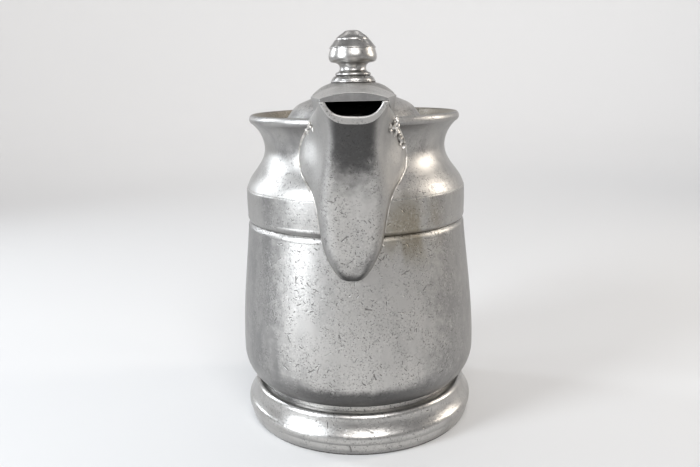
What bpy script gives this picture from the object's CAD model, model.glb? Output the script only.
import math
import random

import bmesh
import bpy
from mathutils import Matrix, Vector, noise
from mathutils.bvhtree import BVHTree


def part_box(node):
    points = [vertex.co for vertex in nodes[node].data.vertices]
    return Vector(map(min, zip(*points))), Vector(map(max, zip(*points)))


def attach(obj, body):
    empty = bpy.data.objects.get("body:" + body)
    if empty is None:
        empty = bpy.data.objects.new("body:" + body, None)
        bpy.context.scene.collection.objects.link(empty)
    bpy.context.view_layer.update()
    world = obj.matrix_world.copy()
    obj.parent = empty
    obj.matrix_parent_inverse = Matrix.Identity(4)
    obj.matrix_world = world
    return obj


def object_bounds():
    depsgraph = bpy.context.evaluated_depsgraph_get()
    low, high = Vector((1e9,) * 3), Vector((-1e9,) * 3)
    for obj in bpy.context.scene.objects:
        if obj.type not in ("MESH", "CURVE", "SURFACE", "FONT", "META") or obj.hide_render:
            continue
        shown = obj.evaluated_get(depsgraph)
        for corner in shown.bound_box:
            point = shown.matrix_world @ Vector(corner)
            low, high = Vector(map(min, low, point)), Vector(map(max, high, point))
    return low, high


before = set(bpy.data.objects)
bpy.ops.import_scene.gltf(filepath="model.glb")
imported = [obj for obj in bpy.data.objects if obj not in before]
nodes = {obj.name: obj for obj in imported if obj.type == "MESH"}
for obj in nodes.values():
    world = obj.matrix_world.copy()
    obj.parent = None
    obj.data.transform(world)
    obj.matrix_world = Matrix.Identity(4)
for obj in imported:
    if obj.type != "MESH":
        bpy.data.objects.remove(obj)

mm = 0.001
cad_low, cad_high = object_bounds()
print("loaded", len(nodes), "pieces of the pitcher, height", round(cad_high.z / mm, 1), "mm")

# %% [markdown]
# ## Measures of the real jug
# The pitcher is cast and turned in pewter, a soft tin alloy, and soldered together from
# castings. Everything here is in metres, so `mm` turns millimetres into metres. Heights that a
# finish or a solder seam needs are read from the pieces themselves, so that they follow the jug
# if its sizes change.

# %% Heights read from the pieces
seam_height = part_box("drum")[1].z
rim_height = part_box("neck_collar")[1].z
toe_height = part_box("spout")[0].z
for label, level in (("seam", seam_height), ("rim", rim_height), ("spout's toe", toe_height)):
    print(label, "at", round(level / mm, 1), "mm")

# %% [markdown]
# ## Small helpers for materials
# A Blender material is a tree of nodes. Building one in Python is mostly plugging numbers and
# links into sockets, so these helpers keep each recipe down to the steps that matter. A value
# may be a number, a colour or another node's output, and `plug` tells them apart.

# %% Make a node and plug values into it
def plug(tree, socket, value):
    if isinstance(value, bpy.types.NodeSocket):
        tree.links.new(value, socket)
    else:
        socket.default_value = value


def add_node(tree, kind, inputs=None, **settings):
    made = tree.nodes.new("ShaderNode" + kind)
    for name, value in settings.items():
        setattr(made, name, value)
    for name, value in (inputs or {}).items():
        plug(tree, made.inputs[name], value)
    return made


def new_material(name):
    material = bpy.data.materials.new(name)
    material.use_nodes = True
    tree = material.node_tree
    tree.nodes.clear()
    shader = add_node(tree, "BsdfPrincipled", {"Metallic": 1.0})
    output = add_node(tree, "OutputMaterial", {"Surface": shader.outputs[0]})
    output.is_active_output = True
    return material, tree, shader


# %% Sums with numbers and vectors
def calc(tree, operation, *values):
    return add_node(tree, "Math", dict(enumerate(values)), operation=operation).outputs[0]


def times(tree, first, *others):
    for other in others:
        first = calc(tree, "MULTIPLY", first, other)
    return first


def plus(tree, first, *others):
    for other in others:
        first = calc(tree, "ADD", first, other)
    return first


def vector_calc(tree, operation, *values):
    made = add_node(tree, "VectorMath", dict(enumerate(values)), operation=operation)
    gives_number = operation in ("DOT_PRODUCT", "DISTANCE")
    return made.outputs["Value" if gives_number else "Vector"]


def scaled(tree, vector, factor):
    made = add_node(tree, "VectorMath", {0: vector, "Scale": factor}, operation="SCALE")
    return made.outputs["Vector"]


# %% Soft steps, mixed colours, noise and relief
def rising(tree, value, start, end):
    # 0 below start, 1 above end, and a soft step between.
    inputs = {"Value": value, "From Min": start, "From Max": end}
    return add_node(tree, "MapRange", inputs, interpolation_type="SMOOTHSTEP").outputs["Result"]


def falling(tree, value, start, end):
    return calc(tree, "SUBTRACT", 1.0, rising(tree, value, start, end))


def mixed(tree, share, first, second):
    # The Mix node keeps its sockets for colours at these places.
    share_socket, first_socket, second_socket, result_socket = 0, 6, 7, 2
    made = add_node(tree, "Mix", data_type="RGBA")
    plug(tree, made.inputs[share_socket], share)
    for socket, colour in ((first_socket, first), (second_socket, second)):
        opaque = (*colour, 1.0) if isinstance(colour, tuple) else colour
        plug(tree, made.inputs[socket], opaque)
    return made.outputs[result_socket]


def grain(tree, place, size, detail=3.0, stretch=(1, 1, 1)):
    # Noise whose features are about this big, in metres, stretched along the axes.
    scale = tuple(1 / (size * axis_stretch) for axis_stretch in stretch)
    moved = vector_calc(tree, "MULTIPLY", place, scale)
    inputs = {"Vector": moved, "Scale": 1.0, "Detail": detail, "Roughness": 0.55}
    return add_node(tree, "TexNoise", inputs).outputs[0]


def emboss(tree, shader, relief, rounded=None):
    # Raises the surface by this height in metres, over rounded edges where there are any.
    inputs = {"Height": relief, "Distance": 1.0, "Strength": 1.0}
    if rounded is not None:
        inputs["Normal"] = rounded
    bump = add_node(tree, "Bump", inputs)
    plug(tree, shader.inputs["Normal"], bump.outputs[0])


# %% [markdown]
# ## Dents and nicks
# Soft metal gathers hundreds of short nicks, each lying its own way. An image would be the easy
# route, but a pattern that is worked out needs no file and never runs out of detail. Voronoi
# cells scatter one point in each little block of space. Around that point the surface is
# flattened with its normal, given a random direction, and a thin short stroke is drawn there.

# %% Strokes scattered over a surface
seed_shift = (0.37, 0.11, 0.23)
middle_colour = (0.5, 0.5, 0.5)
shortest_share = 0.35


def bent_place(tree, place, length, seed):
    # Moves each place a little, so that strokes of this length bend.
    shifted = vector_calc(tree, "ADD", place, tuple(seed * shift for shift in seed_shift))
    bend = add_node(tree, "TexNoise", {"Vector": shifted, "Scale": 0.5 / length, "Detail": 1.0})
    swing = vector_calc(tree, "SUBTRACT", bend.outputs["Color"], middle_colour)
    return vector_calc(tree, "ADD", shifted, scaled(tree, swing, 0.5 * length))


def along_and_across(tree, offset, normal, spin):
    # Distances along and across a stroke that lies on the surface and points a random way.
    height = vector_calc(tree, "DOT_PRODUCT", offset, normal)
    flat = vector_calc(tree, "SUBTRACT", offset, scaled(tree, normal, height))
    way = vector_calc(tree, "NORMALIZE", vector_calc(tree, "CROSS_PRODUCT", spin, normal))
    side = vector_calc(tree, "CROSS_PRODUCT", way, normal)
    along = calc(tree, "ABSOLUTE", vector_calc(tree, "DOT_PRODUCT", flat, way))
    across = calc(tree, "ABSOLUTE", vector_calc(tree, "DOT_PRODUCT", flat, side))
    return along, across


def strokes(tree, place, normal, spacing, length, width, share, seed):
    # share: the part of the cells that hold a stroke; the rest stay bare.
    there = bent_place(tree, place, length, seed)
    cell = add_node(tree, "TexVoronoi", {"Vector": there, "Scale": 1 / spacing})
    middle = cell.outputs["Position"]
    offset = vector_calc(tree, "SUBTRACT", there, middle)
    spin = vector_calc(tree, "SUBTRACT", cell.outputs["Color"], middle_colour)
    along, across = along_and_across(tree, offset, normal, spin)
    chance = add_node(tree, "TexWhiteNoise", {"Vector": middle}).outputs["Value"]
    longer = times(tree, chance, (1 - shortest_share) / share)
    reach = times(tree, plus(tree, shortest_share, longer), length)
    lengthways = falling(tree, calc(tree, "DIVIDE", along, reach), 0.35, 0.5)
    sideways = falling(tree, across, 0.25 * width, 0.5 * width)
    picked = falling(tree, chance, share - 0.001, share)
    return times(tree, lengthways, sideways, picked)


# Spacing, length and width in millimetres, share of cells with a nick, and depth in millimetres.
nick_kinds = (
    (7.0, 3.8, 0.62, 0.26, 0.10),
    (2.8, 1.9, 0.46, 0.42, 0.07),
    (1.2, 0.7, 0.36, 0.50, 0.04),
)


def nick_masks(tree, place, normal, wear, struck):
    masks = []
    for number, (spacing, length, width, share, _) in enumerate(nick_kinds, 1):
        sizes = (spacing * mm, length * mm, width * mm)
        nick = strokes(tree, place, normal, *sizes, share * wear, number)
        masks.append(times(tree, nick, struck))
    return masks


print("nicks come in", len(nick_kinds), "sizes, the longest", nick_kinds[0][1], "mm")

# %% [markdown]
# ## Where the metal is worn, stained or dark
# On the real jug, hands and a polishing cloth keep the faces that look forwards bright, and
# faces that look down are never rubbed and stay dark. Grime sits in the corners, and edges are
# worn bare. Painting that by hand would need an image of every side, so each kind of wear is a
# mask from 0 to 1, worked out from the way that the surface looks and from noise.

# %% Masks for wear and dirt
flux_centre = (18 * mm, -36 * mm, seam_height + 2 * mm)
least_wear = 0.2


def struck_faces(tree, place, front, wander):
    # How much wear a face takes: the front most, and everywhere in patches.
    facing = rising(tree, plus(tree, front, times(tree, wander, 3.0)), 0.35, 0.85)
    patchy = rising(tree, grain(tree, place, 9 * mm, 2.0), 0.30, 0.52)
    return times(tree, plus(tree, least_wear, times(tree, facing, 1 - least_wear)), patchy)


def tarnished_faces(tree, normal, wander, darkening):
    # Faces that look down, less so where they turn to the sides of the jug.
    ways = add_node(tree, "SeparateXYZ", {0: normal})
    below = falling(tree, plus(tree, ways.outputs["Z"], wander), -0.36, -0.12)
    sideways = calc(tree, "ABSOLUTE", ways.outputs["X"])
    return times(tree, below, darkening, falling(tree, sideways, 0.2, 0.85))


def inner_faces(tree, place, normal):
    # Faces that look towards the axis of the jug.
    from_axis = vector_calc(tree, "MULTIPLY", place, (1, 1, 0))
    outward = vector_calc(tree, "DOT_PRODUCT", normal, from_axis)
    return falling(tree, outward, -4 * mm, -1 * mm)


def grimy_corners(tree, patches):
    shelter = add_node(tree, "AmbientOcclusion", {"Distance": 2.2 * mm}, samples=8)
    corner = falling(tree, shelter.outputs["AO"], 0.25, 0.62)
    return times(tree, corner, rising(tree, patches, 0.25, 0.5))


def worn_edges(tree, rounded):
    # At an outer edge the rounded normal leans away from the plain one.
    plain = add_node(tree, "NewGeometry").outputs["Normal"]
    return falling(tree, vector_calc(tree, "DOT_PRODUCT", rounded, plain), 0.80, 0.97)


def fluxed_faces(tree, place, drift):
    # Soldering flux left a brown stain beside the spout, on the right.
    distance = vector_calc(tree, "DISTANCE", place, flux_centre)
    return times(tree, falling(tree, distance, 5 * mm, 19 * mm), rising(tree, drift, 0.35, 0.6))


print("flux stain", round(flux_centre[2] / mm, 1), "mm up")

# %% [markdown]
# ## The pewter
# One recipe serves every casting, with other numbers for the rubbed foot and the worn body. It
# starts from the bare alloy and lays thin coats of colour over it, each with its own mask,
# roughly in the order in which they came to the real metal. Heights for the relief are real
# metres, so a nick is as deep as it says.

# %% Colours of the metal and of what lies on it
bare_pewter = (0.54, 0.527, 0.508)
dull_pewter = (0.27, 0.266, 0.262)
worn_edge = (0.74, 0.725, 0.70)
tarnish = (0.055, 0.054, 0.054)
grime = (0.035, 0.032, 0.029)
inner_stain = (0.27, 0.235, 0.18)
flux_stain = (0.27, 0.225, 0.14)


def coated(tree, colour, coats):
    # A coat is a mask, the strength of its colour, and that colour.
    for mask, strength, coat_colour in coats:
        colour = mixed(tree, times(tree, mask, strength), colour, coat_colour)
    return colour


def pewter_relief(tree, place, streak, nicks, bumps):
    # Slow waves, small dents, pits, polishing lines, nicks and a fine stipple, in millimetres.
    layers = [
        (grain(tree, place, 22 * mm, 1.0), 0.10),
        (grain(tree, place, 5 * mm, 2.0), 0.012),
        (grain(tree, place, 0.35 * mm, 3.0), 0.006),
        (grain(tree, place, 0.5 * mm, 2.0, streak), 0.004),
    ]
    layers += [(nick, -depth) for nick, (*_, depth) in zip(nicks, nick_kinds)]
    layers.append((bumps, 0.06))
    return plus(tree, *(times(tree, pattern, height * mm) for pattern, height in layers))


# %% Pewter recipe
def pewter(name, polish, streak, wear, edge_round, rubbed_way, dulling, darkening):
    # polish: smoothness of the metal; streak: way of the polishing lines; wear: share of nicks;
    # rubbed_way: the way that the brightest faces look; dulling: loss of shine on the others;
    # darkening: tarnish on faces that look down.
    material, tree, shader = new_material(name)
    where = add_node(tree, "TexCoord")
    place, normal = where.outputs["Object"], where.outputs["Normal"]
    rounded = add_node(tree, "Bevel", {"Radius": edge_round}, samples=6).outputs[0]

    patches = grain(tree, place, 3 * mm, 5.0)
    drift = grain(tree, place, 9 * mm, 4.0, (1, 1, 2.6))
    stipple = grain(tree, place, 0.8 * mm, 2.0)
    wander = times(tree, calc(tree, "SUBTRACT", patches, 0.5), 0.16)
    front = vector_calc(tree, "DOT_PRODUCT", normal, rubbed_way)
    missed = falling(tree, plus(tree, front, wander), 0.62, 0.80)
    dull = times(tree, missed, dulling)
    dull = plus(tree, dull, times(tree, rising(tree, drift, 0.4, 0.75), 0.35))

    struck = struck_faces(tree, place, front, wander)
    under = tarnished_faces(tree, normal, wander, darkening)
    corner = grimy_corners(tree, patches)
    flecks = times(tree, rising(tree, stipple, 0.55, 0.7), struck)
    flecks = times(tree, flecks, calc(tree, "SUBTRACT", 1.0, under))
    hollows = times(tree, falling(tree, stipple, 0.30, 0.45), struck)
    nicks = nick_masks(tree, place, normal, wear, struck)
    nicked = calc(tree, "MAXIMUM", nicks[0], calc(tree, "MAXIMUM", nicks[1], nicks[2]))

    colour = coated(tree, bare_pewter, (
        (dull, 1.0, dull_pewter),
        (rising(tree, patches, 0.4, 0.8), 0.3, bare_pewter),
        (fluxed_faces(tree, place, drift), 0.6, flux_stain),
        (under, 1.0, tarnish),
        (inner_faces(tree, place, normal), 0.7, inner_stain),
        (worn_edges(tree, rounded), 0.8, worn_edge),
        (flecks, 0.35, worn_edge),
        (hollows, 0.40, tarnish),
        (nicked, 0.6, grime),
        (corner, 0.85, grime),
    ))
    plug(tree, shader.inputs["Base Color"], colour)

    rough = plus(tree, 1.0 - polish, times(tree, patches, 0.16))
    rough = plus(tree, rough, times(tree, under, 0.06), times(tree, corner, 0.25))
    plug(tree, shader.inputs["Roughness"], rough)
    relief = pewter_relief(tree, place, streak, nicks, times(tree, stipple, struck))
    emboss(tree, shader, relief, rounded)
    return material


# %% Five pewter finishes
upright_lines = (1, 1, 30)
level_lines = (18, 18, 1)
front_way = (0.0, -0.866, 0.5)
top_way = (0.0, -0.2, 0.98)

spout_pewter = pewter(
    "spout_finish", polish=0.64, streak=upright_lines, wear=1.1, edge_round=0.7 * mm,
    rubbed_way=front_way, dulling=0.55, darkening=0.9,
)
drum_pewter = pewter(
    "drum_finish", polish=0.66, streak=upright_lines, wear=1.0, edge_round=0.5 * mm,
    rubbed_way=front_way, dulling=0.8, darkening=0.7,
)
collar_pewter = pewter(
    "collar_finish", polish=0.68, streak=level_lines, wear=0.6, edge_round=0.5 * mm,
    rubbed_way=front_way, dulling=0.6, darkening=0.35,
)
lid_pewter = pewter(
    "lid_finish", polish=0.62, streak=level_lines, wear=0.5, edge_round=0.4 * mm,
    rubbed_way=top_way, dulling=0.9, darkening=0.3,
)
foot_pewter = pewter(
    "foot_finish", polish=0.76, streak=level_lines, wear=0.45, edge_round=0.4 * mm,
    rubbed_way=front_way, dulling=0.3, darkening=0.2,
)
print("made five pewter finishes, from", spout_pewter.name, "to", foot_pewter.name)

# %% [markdown]
# ## Solder
# The spout was soldered on by hand. Solder is bright tin that froze in lumps, so its surface is
# smooth between the lumps and catches small sharp lights. Noise gives the lumps and the stain
# of flux on them.

# %% Solder recipe
fresh_solder = (0.72, 0.70, 0.67)
stained_solder = (0.36, 0.34, 0.31)


def solder_finish():
    material, tree, shader = new_material("solder_finish")
    place = add_node(tree, "TexCoord").outputs["Object"]
    lumps = grain(tree, place, 1.2 * mm, 3.0)
    stain = grain(tree, place, 2.5 * mm, 4.0)
    shelter = add_node(tree, "AmbientOcclusion", {"Distance": 1.0 * mm}, samples=8)
    corner = falling(tree, shelter.outputs["AO"], 0.2, 0.6)
    colour = mixed(tree, rising(tree, stain, 0.35, 0.7), fresh_solder, stained_solder)
    colour = mixed(tree, times(tree, corner, 0.45), colour, grime)
    plug(tree, shader.inputs["Base Color"], colour)
    plug(tree, shader.inputs["Roughness"], plus(tree, 0.22, times(tree, stain, 0.2)))
    emboss(tree, shader, times(tree, lumps, 0.08 * mm))
    return material


solder = solder_finish()
print("made", solder.name)

# %% [markdown]
# ## Pin, stud and nut
# The hinge pin is drawn white metal, dull from handling. The screw that holds the knob, with
# its washer and nut, is brass that has gone brown. Both have fine lines from the lathe, which
# run round the piece: noise that is squeezed along the piece's axis draws them.

# %% Fixing recipes
drawn_metal = (0.52, 0.50, 0.47)
dull_drawn_metal = (0.25, 0.24, 0.22)
bright_brass = (0.62, 0.46, 0.22)
brown_brass = (0.26, 0.18, 0.09)
round_x_axis = (1, 20, 20)
round_z_axis = (20, 20, 1)


def fixing(name, bright, dark, roughness, lines):
    material, tree, shader = new_material(name)
    place = add_node(tree, "TexCoord").outputs["Object"]
    stain = grain(tree, place, 1.5 * mm, 4.0)
    turning = grain(tree, place, 0.12 * mm, 2.0, lines)
    colour = mixed(tree, rising(tree, stain, 0.35, 0.7), bright, dark)
    plug(tree, shader.inputs["Base Color"], colour)
    plug(tree, shader.inputs["Roughness"], plus(tree, roughness, times(tree, stain, 0.25)))
    rounded = add_node(tree, "Bevel", {"Radius": 0.2 * mm}, samples=6).outputs[0]
    emboss(tree, shader, times(tree, turning, 0.004 * mm), rounded)
    return material


pin_metal = fixing("hinge_pin_finish", drawn_metal, dull_drawn_metal, 0.25, round_x_axis)
old_brass = fixing("old_brass_finish", bright_brass, brown_brass, 0.28, round_z_axis)
print("made", pin_metal.name, "and", old_brass.name)

# %% [markdown]
# ## Which piece has which finish
# The body and its pads are the most worn, the collar and lid less, and the foot, handle and
# knob are rubbed bright. These pieces already have their shapes from the CAD, so only the
# material in each one's slot is changed.

# %% Give each piece of the pitcher its finish
finishes = {
    spout_pewter: ("spout",),
    drum_pewter: ("drum", "drum_floor", "handle_upper_pad", "handle_lower_pad"),
    collar_pewter: ("neck_collar", "hinge_bracket"),
    lid_pewter: ("lid_dome", "lid_bezel", "lid_crown", "hinge_leaf"),
    foot_pewter: ("foot_ring", "handle", "finial_wafer", "finial"),
    pin_metal: ("hinge_pin",),
    old_brass: ("finial_stud", "finial_washer", "finial_nut"),
}
for finish, names in finishes.items():
    for name in names:
        nodes[name].material_slots[0].material = finish
print("finished", sum(len(names) for names in finishes.values()), "pieces")

# %% [markdown]
# ## Finding the edge of a piece on the body
# Solder runs along the line where one casting meets another. That line isn't written down
# anywhere, but it can be felt for with rays. One ray meets the piece before the body, another
# passes it by, and the stretch between the two is halved until only the edge is left.

# %% Feel for an edge
far_out = 0.12
widest_turn = math.radians(50)


def skin(*names):
    corners, faces = [], []
    for name in names:
        mesh = nodes[name].data
        start = len(corners)
        corners.extend(vertex.co.copy() for vertex in mesh.vertices)
        faces.extend([start + corner for corner in face.vertices] for face in mesh.polygons)
    return BVHTree.FromPolygons(corners, faces)


spout_skin = skin("spout")
body_skin = skin("drum", "neck_collar")


def meets_first(piece_skin, start, way):
    place, _, _, distance = piece_skin.ray_cast(start, way)
    return place is not None and distance < body_skin.ray_cast(start, way)[3]


def edge_of(piece_skin, ray_at, outermost):
    # ray_at gives the start and way of the ray at any reach from the middle of the piece.
    inner, outer = 0.0, outermost
    for _ in range(16):
        middle = 0.5 * (inner + outer)
        if meets_first(piece_skin, *ray_at(middle)):
            inner = middle
        else:
            outer = middle
    return outer


def level_ray(turn, height):
    # From outside towards the jug's axis, turned this far to the right of the front.
    away = Vector((math.sin(turn), -math.cos(turn), 0))
    return far_out * away + Vector((0, 0, height)), -away


def spout_edge(height, side, inward=0.0):
    # The point on the edge, or on the spout when it is this many degrees inward of the edge.
    turn = edge_of(spout_skin, lambda reach: level_ray(side * reach, height), widest_turn)
    if inward:
        inward_ray = level_ray(side * (turn - math.radians(inward)), height)
        return spout_skin.ray_cast(*inward_ray)[0]
    return body_skin.ray_cast(*level_ray(side * turn, height))[0]


print("the spout is", round(spout_edge(seam_height, 1).x / mm, 1), "mm wide each way at the seam")

# %% [markdown]
# ## The solder seam
# A curve with a round section makes a bead of any thickness along a line, and each point of the
# curve has a radius of its own, so the bead swells and thins as solder does. The curve is then
# turned into a mesh and its surface is pushed about by a little noise. This noise starts from
# another place in each run of Blender unless it is given a seed, so it gets one first.

# %% Solder as a piece, and a bead of it along a line
noise.seed_set(4)


def place_solder(name, mesh):
    piece = bpy.data.objects.new(name, mesh)
    bpy.context.scene.collection.objects.link(piece)
    mesh.materials.clear()
    mesh.materials.append(solder)
    for face in mesh.polygons:
        face.use_smooth = True
    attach(piece, "vessel")
    print(name, "has", len(mesh.polygons), "faces")


def bead_mesh(name, points, radii, closed=False):
    line = bpy.data.curves.new(name + "_line", "CURVE")
    line.dimensions = "3D"
    line.bevel_depth = 1.0
    line.bevel_resolution = 5
    line.use_fill_caps = True
    spline = line.splines.new("NURBS")
    spline.points.add(len(points) - 1)
    for knot, point, radius in zip(spline.points, points, radii):
        knot.co = (*point, 1.0)
        knot.radius = radius
    spline.order_u = 3
    spline.use_endpoint_u = not closed
    spline.use_cyclic_u = closed
    spline.resolution_u = 4
    carrier = bpy.data.objects.new(name + "_carrier", line)
    mesh = bpy.data.meshes.new_from_object(carrier)
    bpy.data.objects.remove(carrier)
    bpy.data.curves.remove(line)
    mesh.name = name
    return mesh


def roughen(mesh, size, height):
    # Pushes a mesh about by a smooth noise whose features are this big.
    for vertex in mesh.vertices:
        vertex.co += height * noise.noise_vector(vertex.co / size)


# %% Beads up both edges of the spout
seam_knots = 46
above_toe = 2.5 * mm
below_rim = 1.4 * mm
swelling_height = 8 * mm


def seam_bead(name, side, thin, thick, seed):
    # Thin below the seam of the body, where the solder was wiped flush, and thick above it.
    chance = random.Random(seed)
    low, high = toe_height + above_toe, rim_height - below_rim
    points, radii = [], []
    for step in range(seam_knots):
        height = low + step / (seam_knots - 1) * (high - low)
        raised = min(1.0, max(0.0, (height - seam_height) / swelling_height))
        points.append(spout_edge(height, side))
        radii.append(thin + raised * (thick - thin) + chance.uniform(-0.05, 0.05) * mm)
    mesh = bead_mesh(name, points, radii)
    roughen(mesh, 2.5 * mm, 0.10 * mm)
    place_solder(name, mesh)


seam_bead("solder_seam_right", 1, 0.16 * mm, 0.40 * mm, 11)
seam_bead("solder_seam_left", -1, 0.20 * mm, 0.62 * mm, 12)

# %% [markdown]
# ## Crumpled solder under the rim
# Where the spout's edge reaches the rim, more solder was needed, and it froze while it was being
# moved. Small balls are drawn out into flakes, crumpled with noise and set along the seam.

# %% Crumpled lumps
crumple_depth = 0.45 * mm
crumple_size = 1.3 * mm


def lump_frame(point, side, size, chance):
    # Draws a ball of radius 1 out into a flake, leans it and puts it just outside the point.
    width = size * chance.uniform(0.32, 0.52)
    depth = size * chance.uniform(0.35, 0.55)
    height = size * chance.uniform(0.9, 1.4)
    flake = Matrix.Diagonal((width, depth, height, 1))
    lean = Matrix.Rotation(side * math.radians(chance.uniform(-10, 35)), 4, "Y")
    lean @= Matrix.Rotation(math.radians(chance.uniform(-25, 25)), 4, "X")
    outside = Vector((side * 0.2 * mm, -0.1 * mm, 0))
    return Matrix.Translation(point + outside) @ lean @ flake


def crumple(name, side, places, size, seed):
    # places: how far below the rim and how many degrees inward of the edge each lump lies.
    chance = random.Random(seed)
    shape = bmesh.new()
    for drop, inward in places:
        point = spout_edge(rim_height - drop * mm, side, inward)
        made = bmesh.ops.create_icosphere(shape, subdivisions=4, radius=1.0)["verts"]
        bmesh.ops.transform(shape, matrix=lump_frame(point, side, size, chance), verts=made)
    for vertex in shape.verts:
        vertex.co += crumple_depth * noise.turbulence_vector(vertex.co / crumple_size, 3, False)
    bmesh.ops.recalc_face_normals(shape, faces=shape.faces)
    mesh = bpy.data.meshes.new(name)
    shape.to_mesh(mesh)
    shape.free()
    place_solder(name, mesh)


right_lumps = (
    (1.5, 1.0), (2.0, 4.0), (3.2, 7.0), (3.6, 2.0),
    (5.0, 5.5), (6.6, 4.0), (8.5, 5.0), (10.5, 3.5),
)
left_lumps = ((1.8, 1.0), (3.0, 3.5), (4.6, 2.0))
drop_under_seam = 2.6
drop_below_rim = (rim_height - seam_height) / mm + drop_under_seam
crumple("solder_lump_right", 1, right_lumps, 1.7 * mm, 21)
crumple("solder_lump_left", -1, left_lumps, 1.2 * mm, 22)
crumple("solder_drop", 1, ((drop_below_rim, 0.0),), 0.6 * mm, 23)

# %% [markdown]
# ## Solder round the handle's lower foot
# The strut of the handle ends in a small oval pad, and on a jug like this a thin line of solder
# runs all round it. The pad's edge is felt for in the same way, from its middle outwards.

# %% Line of solder round the pad
pad_knots = 40
forwards = Vector((0, -1, 0))


def pad_seam(name, pad, thick):
    pad_skin = skin(pad)
    pad_low, pad_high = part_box(pad)
    middle = 0.5 * (pad_low + pad_high)
    reach = 0.7 * max(pad_high.x - pad_low.x, pad_high.z - pad_low.z)
    behind = Vector((middle.x, far_out, middle.z))
    points = []
    for step in range(pad_knots):
        turn = math.tau * step / pad_knots
        out = Vector((math.cos(turn), 0, math.sin(turn)))
        edge = edge_of(pad_skin, lambda part: (behind + part * out, forwards), reach)
        points.append(body_skin.ray_cast(behind + edge * out, forwards)[0])
    mesh = bead_mesh(name, points, [thick] * len(points), closed=True)
    roughen(mesh, 1.5 * mm, 0.08 * mm)
    place_solder(name, mesh)


pad_seam("solder_pad_lower", "handle_lower_pad", 0.3 * mm)

# %% [markdown]
# ## The floor
# The jug stands on a plain pale floor. It rises in a wide curve all round, as the paper in a
# studio does, so that no horizon cuts the picture from any side. Half of its section is drawn
# and spun round the upright axis.

# %% Floor that rises all round
floor_grey = (0.72, 0.72, 0.72, 1.0)
flat_radius = 1.2
curve_radius = 0.5
wall_top = 0.9
curve_steps = 12
floor_turns = 96


def floor_section():
    section = [(0.0, 0.0), (0.4, 0.0), (0.8, 0.0), (flat_radius, 0.0)]
    for step in range(1, curve_steps + 1):
        turn = math.radians(90 * step / curve_steps)
        out, up = curve_radius * math.sin(turn), curve_radius * (1 - math.cos(turn))
        section.append((flat_radius + out, up))
    section.append((flat_radius + curve_radius, wall_top))
    return section


def floor_mesh():
    shape = bmesh.new()
    corners = [shape.verts.new((radius, 0, height)) for radius, height in floor_section()]
    edges = [shape.edges.new(pair) for pair in zip(corners, corners[1:])]
    bmesh.ops.spin(
        shape, geom=corners + edges, axis=(0, 0, 1), cent=(0, 0, 0),
        angle=math.tau, steps=floor_turns, use_merge=True,
    )
    bmesh.ops.remove_doubles(shape, verts=shape.verts, dist=0.1 * mm)
    bmesh.ops.recalc_face_normals(shape, faces=shape.faces)
    mesh = bpy.data.meshes.new("floor")
    shape.to_mesh(mesh)
    shape.free()
    for face in mesh.polygons:
        face.use_smooth = True
    return mesh


floor = bpy.data.objects.new("floor", floor_mesh())
bpy.context.scene.collection.objects.link(floor)
floor_finish, _, floor_shader = new_material("floor_finish")
floor_shader.inputs["Metallic"].default_value = 0.0
floor_shader.inputs["Base Color"].default_value = floor_grey
floor_shader.inputs["Roughness"].default_value = 0.8
floor.data.materials.append(floor_finish)
print("floor", 2 * (flat_radius + curve_radius), "m across")

# %% [markdown]
# ## Lamps and the room
# A round metal body is drawn by the shapes that it mirrors. Tall soft lamps on both sides give
# the light edges left and right, a broad one above the camera gives the front, and one more
# lights the wall behind. A grid on the side lamps narrows their light, so that less of it falls
# on the floor, and the rest of the room is an even grey.

# %% Lamps
body_middle = Vector((0, 0, 0.5 * cad_high.z))
gridded = 110
cool, neutral, warm = (0.90, 0.95, 1.0), (1.0, 0.985, 0.97), (1.0, 0.92, 0.82)


def around_body(round_degrees, up_degrees, distance):
    # A place this many degrees round from the front, to the right if they are above zero.
    turn, rise = math.radians(round_degrees), math.radians(up_degrees)
    level = Vector((math.sin(turn), -math.cos(turn), 0))
    return body_middle + distance * (math.cos(rise) * level + Vector((0, 0, math.sin(rise))))


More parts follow.
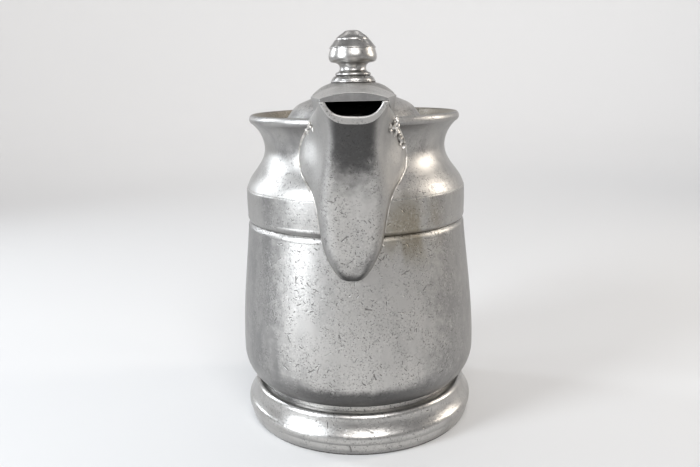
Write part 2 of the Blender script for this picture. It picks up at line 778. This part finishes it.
def lamp(name, place, size, power, colour, spread=180, aim=body_middle):
    # size: width and height in metres; spread: how widely it shines, in degrees.
    light = bpy.data.lights.new(name, "AREA")
    light.shape = "RECTANGLE"
    light.size, light.size_y = size
    light.spread = math.radians(spread)
    light.energy = power
    light.color = colour
    holder = bpy.data.objects.new(name, light)
    bpy.context.scene.collection.objects.link(holder)
    holder.location = place
    holder.rotation_euler = (aim - place).to_track_quat("-Z", "Y").to_euler()
    print(name, "of", power, "W")


lamp("left_lamp", around_body(-56, 20, 0.75), (0.22, 0.5), 1.9, cool, gridded)
lamp("left_back_lamp", around_body(-112, 21, 0.75), (0.10, 0.4), 0.75, cool, gridded)
lamp("right_lamp", around_body(98, 21, 0.75), (0.14, 0.4), 0.7, warm, gridded)
lamp("front_lamp", around_body(10, 42, 0.95), (0.5, 0.5), 4.8, neutral)
lamp("wall_lamp", Vector((0, 0.8, 1.2)), (2.0, 0.8), 15.0, neutral, aim=Vector((0, 1.7, 0.25)))

# %% Even grey of the room
room_grey = (0.24, 0.24, 0.25, 1.0)
world = bpy.data.worlds.new("studio")
world.use_nodes = True
bpy.context.scene.world = world
backing = world.node_tree.nodes["Background"]
backing.inputs["Color"].default_value = room_grey
backing.inputs["Strength"].default_value = 1.0
print("room of grey", room_grey[:3])

# %% [markdown]
# ## Camera
# The camera stands where the photographer's did, close to the jug and a little above its rim,
# so that the foot and the lid are seen at their real angles. Its place, turn and lens come from
# laying the jug's outline over the photographed one.

# %% Camera at the photograph's place
focal_pixels = 680
photo_width = 700
camera_height = 0.13811
camera_distance = 0.27426
camera_yaw = math.radians(0.541)
camera_tilt = math.radians(77.0)
camera_roll = math.radians(-1.272)

lens = bpy.data.cameras.new("camera")
lens.sensor_width = 36.0
lens.lens = focal_pixels * lens.sensor_width / photo_width
lens.clip_start = 0.01
camera = bpy.data.objects.new("camera", lens)
bpy.context.scene.collection.objects.link(camera)
turned = Matrix.Rotation(camera_yaw, 4, "Z") @ Matrix.Rotation(camera_tilt, 4, "X")
turned @= Matrix.Rotation(camera_roll, 4, "Z")
camera.matrix_world = Matrix.Translation((0, -camera_distance, camera_height)) @ turned
bpy.context.scene.camera = camera
bpy.context.scene.view_settings.view_transform = "Standard"
print("lens of", round(lens.lens, 1), "mm")
